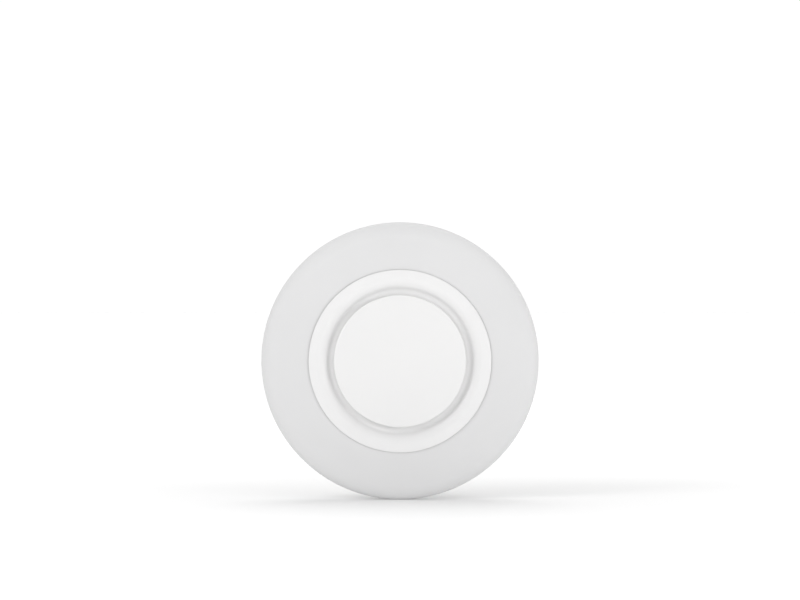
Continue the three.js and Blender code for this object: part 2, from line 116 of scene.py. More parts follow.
class BodySettings(bpy.types.PropertyGroup):
    """What is behind the cover."""

    facets: IntProperty(
        name="Facets", description="Steps round the body, cup and retainer", default=128, min=32, max=192
    )
    brass_colour: FloatVectorProperty(
        name="Brass colour", description="Cast body", subtype="COLOR", default=(0.72, 0.5, 0.2)
    )
    bronze_colour: FloatVectorProperty(
        name="Bronze colour", description="Stamped sheet", subtype="COLOR", default=(0.66, 0.41, 0.18)
    )
    zinc_colour: FloatVectorProperty(
        name="Zinc colour", description="Plated cup", subtype="COLOR", default=(0.58, 0.6, 0.63)
    )
    liquid_colour: FloatVectorProperty(
        name="Liquid colour", description="Liquid in the bulb",
        subtype="COLOR", default=(0.72, 0.012, 0.02),
    )
    thread_pitch: FloatProperty(
        name="Thread pitch", description="Pitch of the pipe thread", default=1.814 * MM, unit="LENGTH"
    )
    cup_pitch: FloatProperty(
        name="Cup pitch", description="Pitch of the cup's rolled thread",
        default=3.175 * MM, unit="LENGTH",
    )
    coil_turns: FloatProperty(
        name="Coil turns", description="Turns of each deflector spring", default=8.0, min=3.0, max=12.0
    )


class StageSettings(bpy.types.PropertyGroup):
    """Floor, lights and camera."""

    lens: FloatProperty(
        name="Lens", description="Focal length in millimetres", default=135.0, min=50.0, max=300.0
    )
    view_width: FloatProperty(
        name="View width", description="Width seen at the face", default=422.3 * MM, unit="LENGTH"
    )
    elevation: FloatProperty(
        name="Elevation", description="Camera above the axis", default=math.radians(1.5), subtype="ANGLE"
    )
    side_light: FloatProperty(
        name="Side light", description="Strength of the studio walls at the sides",
        default=0.36, min=0.0, max=2.0,
    )
    front_light: FloatProperty(
        name="Front light", description="Strength of the studio wall in front",
        default=0.765, min=0.0, max=2.0,
    )
    back_light: FloatProperty(
        name="Back light", description="Strength of the studio wall behind",
        default=1.02, min=0.0, max=2.0,
    )
    key_power: FloatProperty(
        name="Key power", description="Soft light at the upper left", default=7.2, unit="POWER"
    )
    fill_power: FloatProperty(
        name="Fill power", description="Soft light at the right", default=8.8, unit="POWER"
    )
    top_light: FloatProperty(
        name="Top light", description="Strength of the broad light from above", default=1.0, max=5.0
    )


# ---- modelling steps


def deselect():
    bpy.ops.object.select_all(action="DESELECT")


def applied(name):
    """Name the new primitive, and put its place, turn and size into its mesh."""
    obj = bpy.context.object
    obj.name = obj.data.name = name
    bpy.ops.object.transform_apply(location=True, rotation=True, scale=True)
    return obj


def linked(name, data):
    """A new object in the scene, made of data."""
    obj = bpy.data.objects.new(name, data)
    bpy.context.scene.collection.objects.link(obj)
    return obj


def select_only(*objects):
    """Leave just these objects selected, with the first of them active."""
    deselect()
    for obj in objects:
        obj.select_set(True)
    bpy.context.view_layer.objects.active = objects[0]


def edit_all(obj):
    """Go into edit mode on one object, with all of it selected."""
    select_only(obj)
    bpy.ops.object.mode_set(mode="EDIT")
    bpy.ops.mesh.select_all(action="SELECT")


def object_mode():
    bpy.ops.object.mode_set(mode="OBJECT")


def pick(obj, kind, wanted):
    """In edit mode, select the vertices, edges or faces that pass a test."""
    bpy.ops.mesh.select_mode(type=kind)
    bpy.ops.mesh.select_all(action="DESELECT")
    mesh = bmesh.from_edit_mesh(obj.data)
    parts = {"VERT": mesh.verts, "EDGE": mesh.edges, "FACE": mesh.faces}[kind]
    for part in parts:
        if wanted(part):
            part.select_set(True)
    mesh.select_flush_mode()
    bmesh.update_edit_mesh(obj.data)


def pick_spots(obj, spots):
    """In edit mode, select the vertices at some places."""
    close = 1e-7
    pick(obj, "VERT", lambda vertex: any((vertex.co - spot).length < close for spot in spots))


def radial(radius, y):
    """Place of an outline's point in the half plane that is turned about the head's axis."""
    return Vector((radius, y, 0.0))


def facing(front):
    """Places for an outline of (x, z) points in a plane that faces the room."""
    return lambda x, z: Vector((x, front * MM, z))


def extruded(offset):
    bpy.ops.mesh.extrude_region_move(TRANSFORM_OT_translate={"value": offset})


def drawn(name, corners, place, closed=True):
    """A wire through (first, second) or (first, second, rounding) corners, drawn by extruding one vertex.

    The object is left in edit mode.
    """
    deselect()
    bpy.ops.mesh.primitive_plane_add(size=MM)
    obj = bpy.context.object
    obj.name = obj.data.name = name
    bpy.ops.object.mode_set(mode="EDIT")
    bpy.ops.mesh.merge(type="CENTER")
    spots = [place(first * MM, second * MM) for first, second, *_ in corners]
    bpy.ops.transform.translate(value=spots[0])
    for here, there in zip(spots, spots[1:]):
        extruded(there - here)
    if closed:
        pick_spots(obj, [spots[0], spots[-1]])
        bpy.ops.mesh.edge_face_add()
    for rounding in sorted({corner[2] for corner in corners if len(corner) > 2}):
        pick_spots(obj, [spot for spot, corner in zip(spots, corners) if corner[2:] == (rounding,)])
        segments = max(3, min(24, round(rounding * 5)))
        bpy.ops.mesh.bevel(
            offset=rounding * MM, offset_type="OFFSET", segments=segments, affect="VERTICES"
        )
    bpy.ops.mesh.select_all(action="SELECT")
    return obj


def settle(obj):
    """Merge doubles, close the ends and point the faces out."""
    edit_all(obj)
    bpy.ops.mesh.remove_doubles(threshold=1e-6)
    bpy.ops.mesh.fill_holes(sides=0)
    bpy.ops.mesh.select_all(action="SELECT")
    bpy.ops.mesh.normals_make_consistent(inside=False)
    object_mode()
    return obj


def band(inner, outer, front, back, *roundings):
    """Corners of a ring's square section, from its inner front edge round to its inner back one."""
    corners = [(inner, front), (outer, front), (outer, back), (inner, back)]
    return [(*corner, rounding) for corner, rounding in zip(corners, roundings)]


def turned(name, corners, steps, closed=True, sweep=360.0):
    """A piece turned about the head's axis from an outline of (radius, y) corners."""
    obj = drawn(name, corners, radial, closed)
    bpy.ops.mesh.spin(steps=steps, angle=math.radians(sweep), center=(0, 0, 0), axis=(0, 1, 0))
    object_mode()
    return settle(obj)


def disc(name, corners, steps):
    """A turned piece whose outline starts and ends on the axis."""
    return turned(name, corners, steps, closed=False)


def rod(name, radius, start, end, steps=48):
    """A plain round tool for cutting or joining."""
    return disc(name, [(0, start), (radius, start), (radius, end), (0, end)], steps)


def slab(name, corners, place, depth):
    """A flat outline filled and pulled out by a vector in millimetres."""
    obj = drawn(name, corners, place)
    bpy.ops.mesh.edge_face_add()
    extruded(Vector(depth) * MM)
    object_mode()
    return settle(obj)


def block(name, size, centre):
    """A square tool for cutting or joining, in millimetres."""
    deselect()
    bpy.ops.mesh.primitive_cube_add(size=MM, location=Vector(centre) * MM, scale=size)
    return applied(name)


def shifted(obj, offset):
    """Move a piece's mesh, leaving its object at the origin."""
    edit_all(obj)
    bpy.ops.transform.translate(value=offset)
    object_mode()
    return obj


def turned_to(obj, angle):
    """Turn a piece's mesh about the head's axis."""
    edit_all(obj)
    bpy.ops.transform.rotate(value=math.radians(angle), orient_axis="Y", center_override=(0, 0, 0))
    object_mode()
    return obj


def copied(obj):
    select_only(obj)
    bpy.ops.object.duplicate()
    return bpy.context.object


def ring_of(obj, angles):
    """Copies of a piece turned to some angles and joined to one object. The piece itself goes."""
    made = [turned_to(copied(obj), angle) for angle in angles]
    removed(obj)
    select_only(*made)
    bpy.ops.object.join()
    return bpy.context.object


def removed(*objects):
    select_only(*objects)
    bpy.ops.object.delete()


def modified(obj, kind, **values):
    """Add a modifier, set it and apply it."""
    select_only(obj)
    bpy.ops.object.modifier_add(type=kind)
    modifier = obj.modifiers[-1]
    for key, value in values.items():
        setattr(modifier, key, value)
    bpy.ops.object.modifier_apply(modifier=modifier.name)
    return obj


def cleaned(obj):
    """Dissolve the slivers that cutting and rounding leave."""
    edit_all(obj)
    bpy.ops.mesh.dissolve_degenerate(threshold=1e-6)
    object_mode()
    return obj


def combined(obj, operation, *tools):
    """Unite, subtract or intersect tools with a piece, one by one, and remove them."""
    for tool in tools:
        modified(obj, "BOOLEAN", operation=operation, solver="EXACT", object=tool)
    removed(*tools)
    return cleaned(obj)


def softened(obj, width, segments=3, angle=40.0):
    """Round the sharp edges by a width in millimetres."""
    limits = {"limit_method": "ANGLE", "angle_limit": math.radians(angle), "use_clamp_overlap": True}
    return modified(obj, "BEVEL", width=width * MM, segments=segments, **limits)


def shaded(obj, angle, weighted=False):
    """Smooth shading up to an angle, with flat faces kept flat where the piece was cut."""
    cleaned(obj)
    select_only(obj)
    bpy.ops.object.shade_smooth_by_angle(angle=math.radians(angle))
    if weighted:
        modified(obj, "WEIGHTED_NORMAL", keep_sharp=True)
    return obj


def strip(name, path, thickness, width):
    """Sheet bent along (radius, y, rounding) corners, as wide as given, lying over the +X axis."""
    obj = drawn(name, path, radial, closed=False)
    bpy.ops.transform.translate(value=(0, 0, -width * MM / 2))
    extruded((0, 0, width * MM))
    object_mode()
    modified(obj, "SOLIDIFY", thickness=thickness * MM, offset=0.0)
    settle(obj)
    return softened(obj, 0.12, segments=2, angle=60.0)


def finished(obj, material, node, angle=35.0, weighted=False):
    """Shade a piece, give it its material, and let it stand for a CAD node on that node's body."""
    shaded(obj, angle, weighted)
    obj.data.materials.clear()
    obj.data.materials.append(material)
    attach(obj, BODY_OF[node])
    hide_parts(node)
    return obj


def reach(node):
    """Outer radius, front and back of a turned CAD node, in millimetres."""
    low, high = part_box(node)
    return high.z / MM, low.y / MM, high.y / MM


def beside(node):
    """How far a CAD node's middle is along X, as an offset."""
    low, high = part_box(node)
    return Vector(((low.x + high.x) / 2, 0, 0))


# ---- finishes


def node(tree, kind, inputs=None, **values):
    """Add a shader node, with values for its sockets and its own settings."""
    made = tree.nodes.new(kind)
    for key, value in values.items():
        setattr(made, key, value)
    for key, value in (inputs or {}).items():
        if isinstance(value, bpy.types.NodeSocket):
            tree.links.new(value, made.inputs[key])
        else:
            made.inputs[key].default_value = value
    return made


def opened(name, colour, roughness, metallic=0.0):
    """A new material, its node tree, its shader and the piece's own coordinates."""
    material = bpy.data.materials.new(name)
    material.use_nodes = True
    tree = material.node_tree
    shader = next(n for n in tree.nodes if n.type == "BSDF_PRINCIPLED")
    shader.inputs["Base Color"].default_value = (*colour, 1.0)
    shader.inputs["Roughness"].default_value = roughness
    shader.inputs["Metallic"].default_value = metallic
    return material, tree, shader, node(tree, "ShaderNodeTexCoord").outputs["Object"]


def noise(tree, place, scale, detail=3.0, roughness=0.55, stretch=(1, 1, 1)):
    """Noise with a scale in features per metre, stretched along the axes."""
    if stretch != (1, 1, 1):
        place = node(tree, "ShaderNodeMapping", {"Vector": place, "Scale": stretch}).outputs["Vector"]
    values = {"Vector": place, "Scale": scale, "Detail": detail, "Roughness": roughness}
    return node(tree, "ShaderNodeTexNoise", values).outputs["Fac"]


def spread(tree, value, low, high, from_low=0.3, from_high=0.7):
    """Map a value's usual range to a new one."""
    values = {"Value": value, "From Min": from_low, "From Max": from_high, "To Min": low, "To Max": high}
    return node(tree, "ShaderNodeMapRange", values).outputs["Result"]


def tinted(tree, value, first, second):
    """A colour between two, by a value from 0 to 1."""
    mix = node(tree, "ShaderNodeMix", {"Factor": value}, data_type="RGBA")
    mix.inputs[6].default_value = (*first, 1.0)
    mix.inputs[7].default_value = (*second, 1.0)
    return mix.outputs[2]


def shade_of(colour, factor):
    return tuple(min(1.0, channel * factor) for channel in colour)


def bumped(tree, shader, height, distance, strength=1.0, before=None):
    """Raise the surface by a height, after any bump already made."""
    values = {"Height": height, "Distance": distance * MM, "Strength": strength}
    if before is not None:
        values["Normal"] = before
    made = node(tree, "ShaderNodeBump", values).outputs["Normal"]
    tree.links.new(made, shader.inputs["Normal"])
    return made


def coloured(tree, shader, value, first, second):
    """Tint the surface between two colours by a value."""
    tree.links.new(tinted(tree, value, first, second), shader.inputs["Base Color"])


def roughened(tree, shader, value, low, high, *usual):
    """Vary the roughness by a value, from its usual range."""
    tree.links.new(spread(tree, value, low, high, *usual), shader.inputs["Roughness"])


def clouded(tree, shader, place, scale, first, second, detail=3.0, usual=(0.3, 0.7)):
    """Let the colour drift between two, as a noise does."""
    drift = spread(tree, noise(tree, place, scale, detail), 0.0, 1.0, *usual)
    coloured(tree, shader, drift, first, second)


def grained(tree, shader, value, low, high, distance, strength=0.5):
    """Vary the roughness and raise the surface by one fine value."""
    roughened(tree, shader, value, low, high)
    return bumped(tree, shader, value, distance, strength)


def rings(tree, place, scale, distortion=1.5):
    """Fine turning marks round the Y axis."""
    values = {"Vector": place, "Scale": scale, "Distortion": distortion, "Detail": 2.0, "Detail Scale": 3.0}
    made = node(tree, "ShaderNodeTexWave", values, wave_type="RINGS", rings_direction="Y")
    return made.outputs["Fac"]


def moulded_plastic(name, colour):
    """Matte moulding with a fine spark-eroded grain and a faint cloudiness."""
    material, tree, shader, place = opened(name, colour, 0.6)
    clouded(tree, shader, place, 22.0, shade_of(colour, 0.99), shade_of(colour, 1.01))
    grained(tree, shader, noise(tree, place, 2600.0, 2.0), 0.54, 0.66, 0.012)
    shader.inputs["Specular IOR Level"].default_value = 0.32
    return material


def powder_coat(name, colour, roughness=0.42):
    """White paint with a shallow orange peel and a few dust nibs."""
    material, tree, shader, place = opened(name, colour, roughness)
    clouded(tree, shader, place, 30.0, shade_of(colour, 0.993), shade_of(colour, 1.007))
    peel = noise(tree, place, 620.0, 2.0)
    first = grained(tree, shader, peel, roughness - 0.05, roughness + 0.05, 0.02, 0.35)
    bumped(tree, shader, noise(tree, place, 3200.0, 1.0), 0.004, 0.4, first)
    shader.inputs["Specular IOR Level"].default_value = 0.4
    return material


def cast_brass(name, colour):
    """Sand-cast brass, dull in its pores and browner where air has reached it."""
    material, tree, shader, place = opened(name, colour, 0.4, 1.0)
    clouded(tree, shader, place, 160.0, colour, shade_of(colour, 0.62), 5.0, (0.35, 0.75))
    grained(tree, shader, noise(tree, place, 1500.0, 4.0, 0.65), 0.3, 0.55, 0.05, 0.6)
    return material


def rolled_sheet(name, colour, stretch=(1, 1, 0.06), roughness=0.33):
    """Rolled metal sheet, with fine lines one way and light handling stains."""
    material, tree, shader, place = opened(name, colour, roughness, 1.0)
    clouded(tree, shader, place, 120.0, colour, shade_of(colour, 0.72), 4.0, (0.4, 0.8))
    lines = noise(tree, place, 3800.0, 3.0, 0.6, stretch)
    grained(tree, shader, lines, roughness - 0.08, roughness + 0.12, 0.01)
    shader.inputs["Anisotropic"].default_value = 0.35
    return material


def zinc_plate(name, colour):
    """Bright zinc plate with a cloudy haze and a trace of yellow passivation."""
    material, tree, shader, place = opened(name, colour, 0.34, 1.0)
    warm = (colour[0] * 0.97, colour[1] * 0.94, colour[2] * 0.88)
    clouded(tree, shader, place, 70.0, colour, warm, 5.0, (0.3, 0.75))
    grained(tree, shader, noise(tree, place, 420.0, 4.0), 0.24, 0.46, 0.012)
    return material


def turned_steel(name, colour, centre=(0, 0, 0), roughness=0.24):
    """Turned steel with its tool marks round its own axis."""
    material, tree, shader, place = opened(name, colour, roughness, 1.0)
    offset = tuple(-value for value in centre)
    local = node(tree, "ShaderNodeMapping", {"Vector": place, "Location": offset}).outputs["Vector"]
    marks = rings(tree, local, 2400.0)
    roughened(tree, shader, marks, roughness - 0.06, roughness + 0.1, 0.0, 1.0)
    clouded(tree, shader, place, 240.0, colour, shade_of(colour, 0.8), 3.0, (0.35, 0.75))
    bumped(tree, shader, marks, 0.006, 0.5)
    return material


def tempered_steel(name, colour):
    """Spring steel with straw and blue heat tints."""
    material, tree, shader, place = opened(name, colour, 0.3, 1.0)
    straw = (colour[0] * 1.15, colour[1] * 1.0, colour[2] * 0.8)
    blue = (colour[0] * 0.75, colour[1] * 0.85, colour[2] * 1.05)
    clouded(tree, shader, place, 260.0, straw, blue, 2.0)
    grained(tree, shader, noise(tree, place, 2600.0, 3.0), 0.22, 0.42, 0.008, 0.4)
    return material


def dull_solder(name, colour):
    """Solder that has frozen slightly grainy."""
    material, tree, shader, place = opened(name, colour, 0.45, 1.0)
    grain = noise(tree, place, 1800.0, 5.0, 0.7)
    coloured(tree, shader, spread(tree, grain, 0.0, 1.0), colour, shade_of(colour, 0.7))
    grained(tree, shader, grain, 0.32, 0.62, 0.04, 0.7)
    return material


def closed_cell_foam(name, colour):
    """Dark foam with open pores on its cut faces."""
    material, tree, shader, place = opened(name, colour, 0.93)
    values = {"Vector": place, "Scale": 1300.0}
    cells = node(tree, "ShaderNodeTexVoronoi", values, feature="DISTANCE_TO_EDGE")
    walls = spread(tree, cells.outputs["Distance"], 1.0, 0.0, 0.02, 0.3)
    coloured(tree, shader, walls, shade_of(colour, 0.5), shade_of(colour, 1.6))
    bumped(tree, shader, walls, 0.15, 0.8)
    shader.inputs["Specular IOR Level"].default_value = 0.25
    return material


def waxy_plastic(name, colour):
    """Soft white sealing plastic with a slight glow at thin edges."""
    material, tree, shader, place = opened(name, colour, 0.38)
    clouded(tree, shader, place, 300.0, colour, shade_of(colour, 0.96))
    bumped(tree, shader, noise(tree, place, 1500.0), 0.01, 0.4)
    shader.inputs["Subsurface Weight"].default_value = 0.2
    shader.inputs["Subsurface Scale"].default_value = 0.5 * MM
    return material


def clear_material(name, colour, ior, roughness=0.01):
    """Something seen through: glass, liquid or the bubble in it."""
    material, tree, shader, place = opened(name, colour, roughness)
    shader.inputs["Transmission Weight"].default_value = 1.0
    shader.inputs["IOR"].default_value = ior
    bumped(tree, shader, noise(tree, place, 500.0, 1.0), 0.002, 0.3)
    return material


# ---- the trim in the room


def flange_face(radius, front, edge_radius):
    """Height of the flange's gently crowned face at a radius, in millimetres."""
    crown_radius, fall, span = 0.804 * edge_radius, 0.4, 11.0
    return front + fall * ((radius - crown_radius) / span) ** 2


class SPRINKLER_OT_wall_flange(bpy.types.Operator):
    """Wide moulded flange with a rolled rim, a gasket groove and ribs behind"""

    bl_idname = "sprinkler.wall_flange"
    bl_label = "Wall flange"

    def execute(self, context):
        trim = context.scene.sprinkler_trim
        radius, front, back = reach("wall_flange")
        ring_radius, ring_front, _ = reach("trim_ring")
        groove_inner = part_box("flange_gasket")[1].z / MM - 4.4
        groove_outer = groove_inner + 4.6
        seat = ring_front + 1.5
        opening = ring_radius + 0.17
        bore = ring_radius - 6.95
        hollow_inner, hollow_outer, hollow_front = bore + 2.6, groove_inner - 2.0, seat + 1.9
        rim_width, rim_depth = trim.rim_width / MM, trim.rim_depth / MM
        rim_start = radius - rim_width
        rim_front = flange_face(rim_start, front, radius)
        stations = [opening + (rim_start - opening) * i / 12 for i in range(1, 12)]

        def on_rim(angle):
            return rim_start + rim_width * math.sin(angle), rim_front + rim_depth * (1 - math.cos(angle))

        rim = [on_rim(math.radians(90 * i / 18)) for i in range(19)]
        groove_floor, land, bore_back = back - 2.4, back - 0.4, back - 0.6
        corners = [
            (bore, seat), (opening, seat), (opening, flange_face(opening, front, radius), 0.09),
            *((r, flange_face(r, front, radius)) for r in stations), *rim,
            (radius, back, 0.5), (groove_outer, back, 0.2), (groove_outer, groove_floor),
            (groove_inner, groove_floor), (groove_inner, land, 0.2), (hollow_outer, land, 0.2),
            (hollow_outer, hollow_front, 1.2), (hollow_inner, hollow_front, 1.2),
            (hollow_inner, bore_back, 0.3), (bore, bore_back, 0.3),
        ]
        flange = turned("wall_flange_moulding", corners, trim.facets)
        middle = (hollow_inner + hollow_outer) / 2
        rib = block("rib", (hollow_outer - hollow_inner + 1.0, 6.4, 1.5), (middle, -4.2, 0))
        pad = rod("ejector_pad", 2.4, hollow_front - 0.4, hollow_front + 0.25)
        shifted(pad, (middle * MM, 0, 0))
        softened(rib, 0.25, segments=2)
        ribs = ring_of(rib, [i * 30 for i in range(12)])
        pads = ring_of(pad, [15 + i * 60 for i in range(6)])
        combined(flange, "UNION", ribs, pads)
        finished(flange, moulded_plastic("grey moulding", trim.flange_colour), "wall_flange", 32.0, True)
        return {"FINISHED"}


class SPRINKLER_OT_flange_gasket(bpy.types.Operator):
    """Foam ring that keeps draughts and dust out behind the flange"""

    bl_idname = "sprinkler.flange_gasket"
    bl_label = "Flange gasket"

    def execute(self, context):
        outer, front, back = reach("flange_gasket")
        inner = outer - 4.2
        corners = band(inner, outer, front, back, 0.4, 0.4, 0.3, 0.3)
        gasket = turned("gasket_foam", corners, context.scene.sprinkler_trim.facets)
        finished(gasket, closed_cell_foam("gasket foam", (0.045, 0.046, 0.05)), "flange_gasket")
        return {"FINISHED"}


class SPRINKLER_OT_trim_ring(bpy.types.Operator):
    """White pressed ring that steps down to a recess round the cover"""

    bl_idname = "sprinkler.trim_ring"
    bl_label = "Trim ring"

    def execute(self, context):
        trim = context.scene.sprinkler_trim
        radius, front, back = reach("trim_ring")
        edge = radius + 0.1
        roll, groove = trim.groove_rounding / MM, trim.groove_depth / MM
        slope_top, slope_foot = radius - 7.3, radius - 10.5
        step_top, step_foot, hole = radius - 14.55, radius - 15.75, radius - 19.15
        floor = back - RING_SHEET
        lap, inner_wall = front + 1.4, radius - 8.65
        corners = [
            (edge, lap, 0.2), (edge, front, 0.09), (slope_top, front, roll),
            (slope_foot, front + groove, 1.2), (step_top, front + groove - 1.25, 0.4),
            (step_foot, floor, 0.6), (hole, floor, 0.3), (hole, back, 0.3), (inner_wall, back, 0.8),
            (inner_wall, front + 2.8, 0.7), (radius - 6.9, lap, 0.7),
        ]
        ring = turned("trim_ring_pressing", corners, trim.facets)
        finished(ring, powder_coat("ring paint", trim.ring_colour), "trim_ring", 40.0)
        return {"FINISHED"}


class SPRINKLER_OT_cover_plate(bpy.types.Operator):
    """Slightly crowned drop-off cover with a turned-down edge"""

    bl_idname = "sprinkler.cover_plate"
    bl_label = "Cover plate"

    def execute(self, context):
        trim = context.scene.sprinkler_trim
        radius, front, back = reach("cover_plate")
        crown, sheet = 0.5, 0.8
        stations = [radius * i / 12 for i in range(12)]

        def height(r):
            return front + crown * (r / radius) ** 2

        inside = radius - sheet
        corners = [
            *((r, height(r)) for r in stations), (radius, front + crown, 0.45), (radius, back, 0.2),
            (inside, back, 0.2), (inside, height(inside) + sheet, 0.3),
            *((r, height(r) + sheet) for r in reversed(stations)),
        ]
        cover = disc("cover_plate_pressing", corners, trim.facets)
        finished(cover, powder_coat("cover paint", trim.cover_colour, 0.45), "cover_plate", 40.0)
        return {"FINISHED"}


class SPRINKLER_OT_solder_pads(bpy.types.Operator):
    """Fusible joints between the retainer's legs and the cover"""

    bl_idname = "sprinkler.solder_pads"
    bl_label = "Solder pads"

    def execute(self, context):
        material = dull_solder("solder", (0.5, 0.51, 0.53))
        for number in (1, 2, 3):
            low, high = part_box(f"solder_pad_{number}")
            middle = (low + high) / 2
            distance = math.hypot(middle.x, middle.z) / MM
            thickness = (high.y - low.y) / MM
            pad = block(f"solder_fillet_{number}", (2.8, thickness, 4.2), (distance, middle.y / MM, 0))
            modified(pad, "SUBSURF", levels=3, render_levels=3, subdivision_type="SIMPLE")
            softened(pad, 0.12, segments=3)
            turned_to(pad, math.degrees(math.atan2(middle.z, middle.x)))
            finished(pad, material, f"solder_pad_{number}")
        return {"FINISHED"}


# ---- the retainer and the cup


class SPRINKLER_OT_cover_retainer(bpy.types.Operator):
    """Sleeve with spring fingers that grips the cup, and three legs that carry the cover"""

    bl_idname = "sprinkler.cover_retainer"
    bl_label = "Cover retainer"

    def execute(self, context):
        settings = context.scene.sprinkler_body
        lip, _, end = reach("cover_retainer")
        inner, outer = lip - 3.9, lip - 2.9
        ring_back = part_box("trim_ring")[1].y / MM
        lip_back = ring_back - RING_SHEET - 0.1
        lip_front = lip_back - 0.7
        bead, tab = ring_back + 0.1, end - 3.5
        bead_rim, tab_rim, slot_half = outer + 0.9, outer + 0.5, 2.0
        corners = [
            (inner, lip_front, 0.3), (lip, lip_front, 0.25), (lip, lip_back, 0.25),
            (outer, lip_back, 0.15), (outer, bead), (bead_rim, bead, 0.2), (bead_rim, bead + 0.6, 0.2),
            (outer, bead + 1.0), (outer, tab), (tab_rim, tab + 0.7, 0.3), (tab_rim, tab + 1.3, 0.3),
            (outer, tab + 2.0), (outer, end, 0.3), (inner, end, 0.3),
        ]
        sleeve = turned("retainer_sleeve", corners, settings.facets)
        slot_start, slot_end = 3.0, end + 2
        slot_path = [
            (slot_start, -slot_half, 1.9), (slot_start, slot_half, 1.9), (slot_end, slot_half),
            (slot_end, -slot_half),
        ]
        slot = slab("slot", slot_path, lambda y, z: Vector(((inner - 3) * MM, y, z)), (8, 0, 0))
        combined(sleeve, "DIFFERENCE", ring_of(slot, [i * 60 for i in range(6)]))
        leg_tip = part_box("solder_pad_1")[1].y / MM + 0.4
        lip_middle = (lip_front + lip_back) / 2
        leg_path = [
            (inner + 0.6, lip_middle), (inner - 2.0, lip_middle, 0.9), (inner - 4.0, leg_tip, 0.9),
            (inner - 7.0, leg_tip),
        ]
        leg_sheet, leg_width = 0.66, 5.0
        leg = strip("leg", leg_path, leg_sheet, leg_width)
        combined(sleeve, "UNION", ring_of(leg, [90, 210, 330]))
        material = rolled_sheet("sleeve brass", settings.brass_colour, (1, 0.05, 1))
        finished(sleeve, material, "cover_retainer", weighted=True)
        return {"FINISHED"}


class SPRINKLER_OT_ejection_spring(bpy.types.Operator):
    """Bowed leaf that throws the cover off"""

    bl_idname = "sprinkler.ejection_spring"
    bl_label = "Ejection spring"

    def execute(self, context):
        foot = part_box("ejection_spring")[1].y / MM - 0.18
        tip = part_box("ejection_spring")[0].y / MM + 0.25
        root, bend, crest, end = 31.2, 28.2, 24.6, 22.6
        path = [(root, foot), (bend, foot, 1.2), (crest, tip, 1.5), (end, tip + 0.6)]
        sheet, width, angle = 0.35, 4.6, 30
        leaf = turned_to(strip("ejection_leaf", path, sheet, width), angle)
        finished(leaf, tempered_steel("leaf steel", (0.5, 0.5, 0.52)), "ejection_spring")
        return {"FINISHED"}


class SPRINKLER_OT_support_cup(bpy.types.Operator):
    """Drawn steel cup with a rolled thread and vents"""

    bl_idname = "sprinkler.support_cup"
    bl_label = "Support cup"

    def execute(self, context):
        settings = context.scene.sprinkler_body
        lip, front, back = reach("support_cup")
        inner, wall, ridge = lip - 1.8, 1.0, 0.4
        pitch = settings.cup_pitch / MM
        first, ridges, points = front + 3.2, 7, 10
        heights = [first + pitch * i / points for i in range(ridges * points + 1)]

        def wave(y):
            return inner + ridge * (1 - math.cos(math.tau * (y - first) / pitch)) / 2

        neck, base = 11.6, back - 1.2
        corners = [
            (inner, front, 0.2), (lip, front, 0.3), (lip, front + 1.0, 0.3),
            (inner + wall, front + 1.4, 0.2), *((wave(y) + wall, y) for y in heights),
            (inner + wall, back, 2.2), (neck, back, 0.2), (neck, base, 0.2), (inner, base, 1.2),
            *((wave(y), y) for y in reversed(heights)),
        ]
        cup = turned("support_cup_drawing", corners, settings.facets)
        vent = block("vent", (6, 4, 9), (inner + wall, back - 7, 0))
        softened(vent, 1.2, segments=4)
        hole_radius, hole_circle = 2.4, 21.5
        hole = shifted(rod("hole", hole_radius, back - 3, back + 1), (hole_circle * MM, 0, 0))
        vents = ring_of(vent, [45, 135, 225, 315])
        combined(cup, "DIFFERENCE", vents, ring_of(hole, [0, 90, 180, 270]))
        finished(cup, zinc_plate("zinc plate", settings.zinc_colour), "support_cup", 38.0, True)
        return {"FINISHED"}


class SPRINKLER_OT_cup_lock_ring(bpy.types.Operator):
    """Notched ring that holds the cup to the body"""

    bl_idname = "sprinkler.cup_lock_ring"
    bl_label = "Cup lock ring"

    def execute(self, context):
        settings = context.scene.sprinkler_body
        outer, front, back = reach("cup_lock_ring")
        inner = outer - 3.45
        corners = band(inner, outer, front, back, 0.2, 0.3, 0.4, 0.2)
        ring = turned("cup_lock_ring_pressing", corners, settings.facets)
        notch = block("notch", (2.4, 3.0, 2.2), (outer, (front + back) / 2, 0))
        combined(ring, "DIFFERENCE", ring_of(notch, [i * 60 for i in range(6)]))
        material = zinc_plate("lock ring zinc", shade_of(settings.zinc_colour, 0.9))
        finished(ring, material, "cup_lock_ring", weighted=True)
        return {"FINISHED"}


# ---- the sprinkler


def pipe_thread(pitch, root, start, end):
    """A helical ridge cut to the taper of a pipe thread, with a lead-in and a run-out."""
    steps, turns = 64, math.ceil((end - start) / pitch) + 1
    half, crest, half_flat = pitch * 0.46, root + 2.0, 0.08
    buried, middle = root - 0.25, start - pitch
    section = [
        (buried, middle - half), (crest, middle - half_flat), (crest, middle + half_flat),
        (buried, middle + half),
    ]
    ridge = drawn("thread_ridge", section, radial)
    object_mode()
    fineness = {"steps": steps, "render_steps": steps, "use_normal_calculate": True}
    modified(ridge, "SCREW", axis="Y", screw_offset=pitch * MM, iterations=turns, **fineness)
    settle(ridge)
    small, taper, run_out, lead_in = root + 1.3, 1 / 32, 1.6, 0.9
    envelope = [
        (0, start), (root, start), (small + (end - start - run_out) * taper, start + run_out),
        (small, end - lead_in), (root - 0.1, end), (0, end),
    ]
    return combined(ridge, "INTERSECT", disc("thread_envelope", envelope, 96))


def cast_arm():
    """One arm from the hexagon to the crossbar, above the bulb, with rounded edges."""
    width = 5.0
    outline = [(12.0, 30.6), (12.0, 15.0, 6.0), (2.6, 7.5), (2.6, 11.5), (9.0, 16.4, 4.0), (9.0, 30.6)]
    arm = slab("arm", outline, lambda z, y: Vector((-width * MM / 2, y, z)), (width, 0, 0))
    return softened(arm, 1.1, segments=4, angle=50.0)


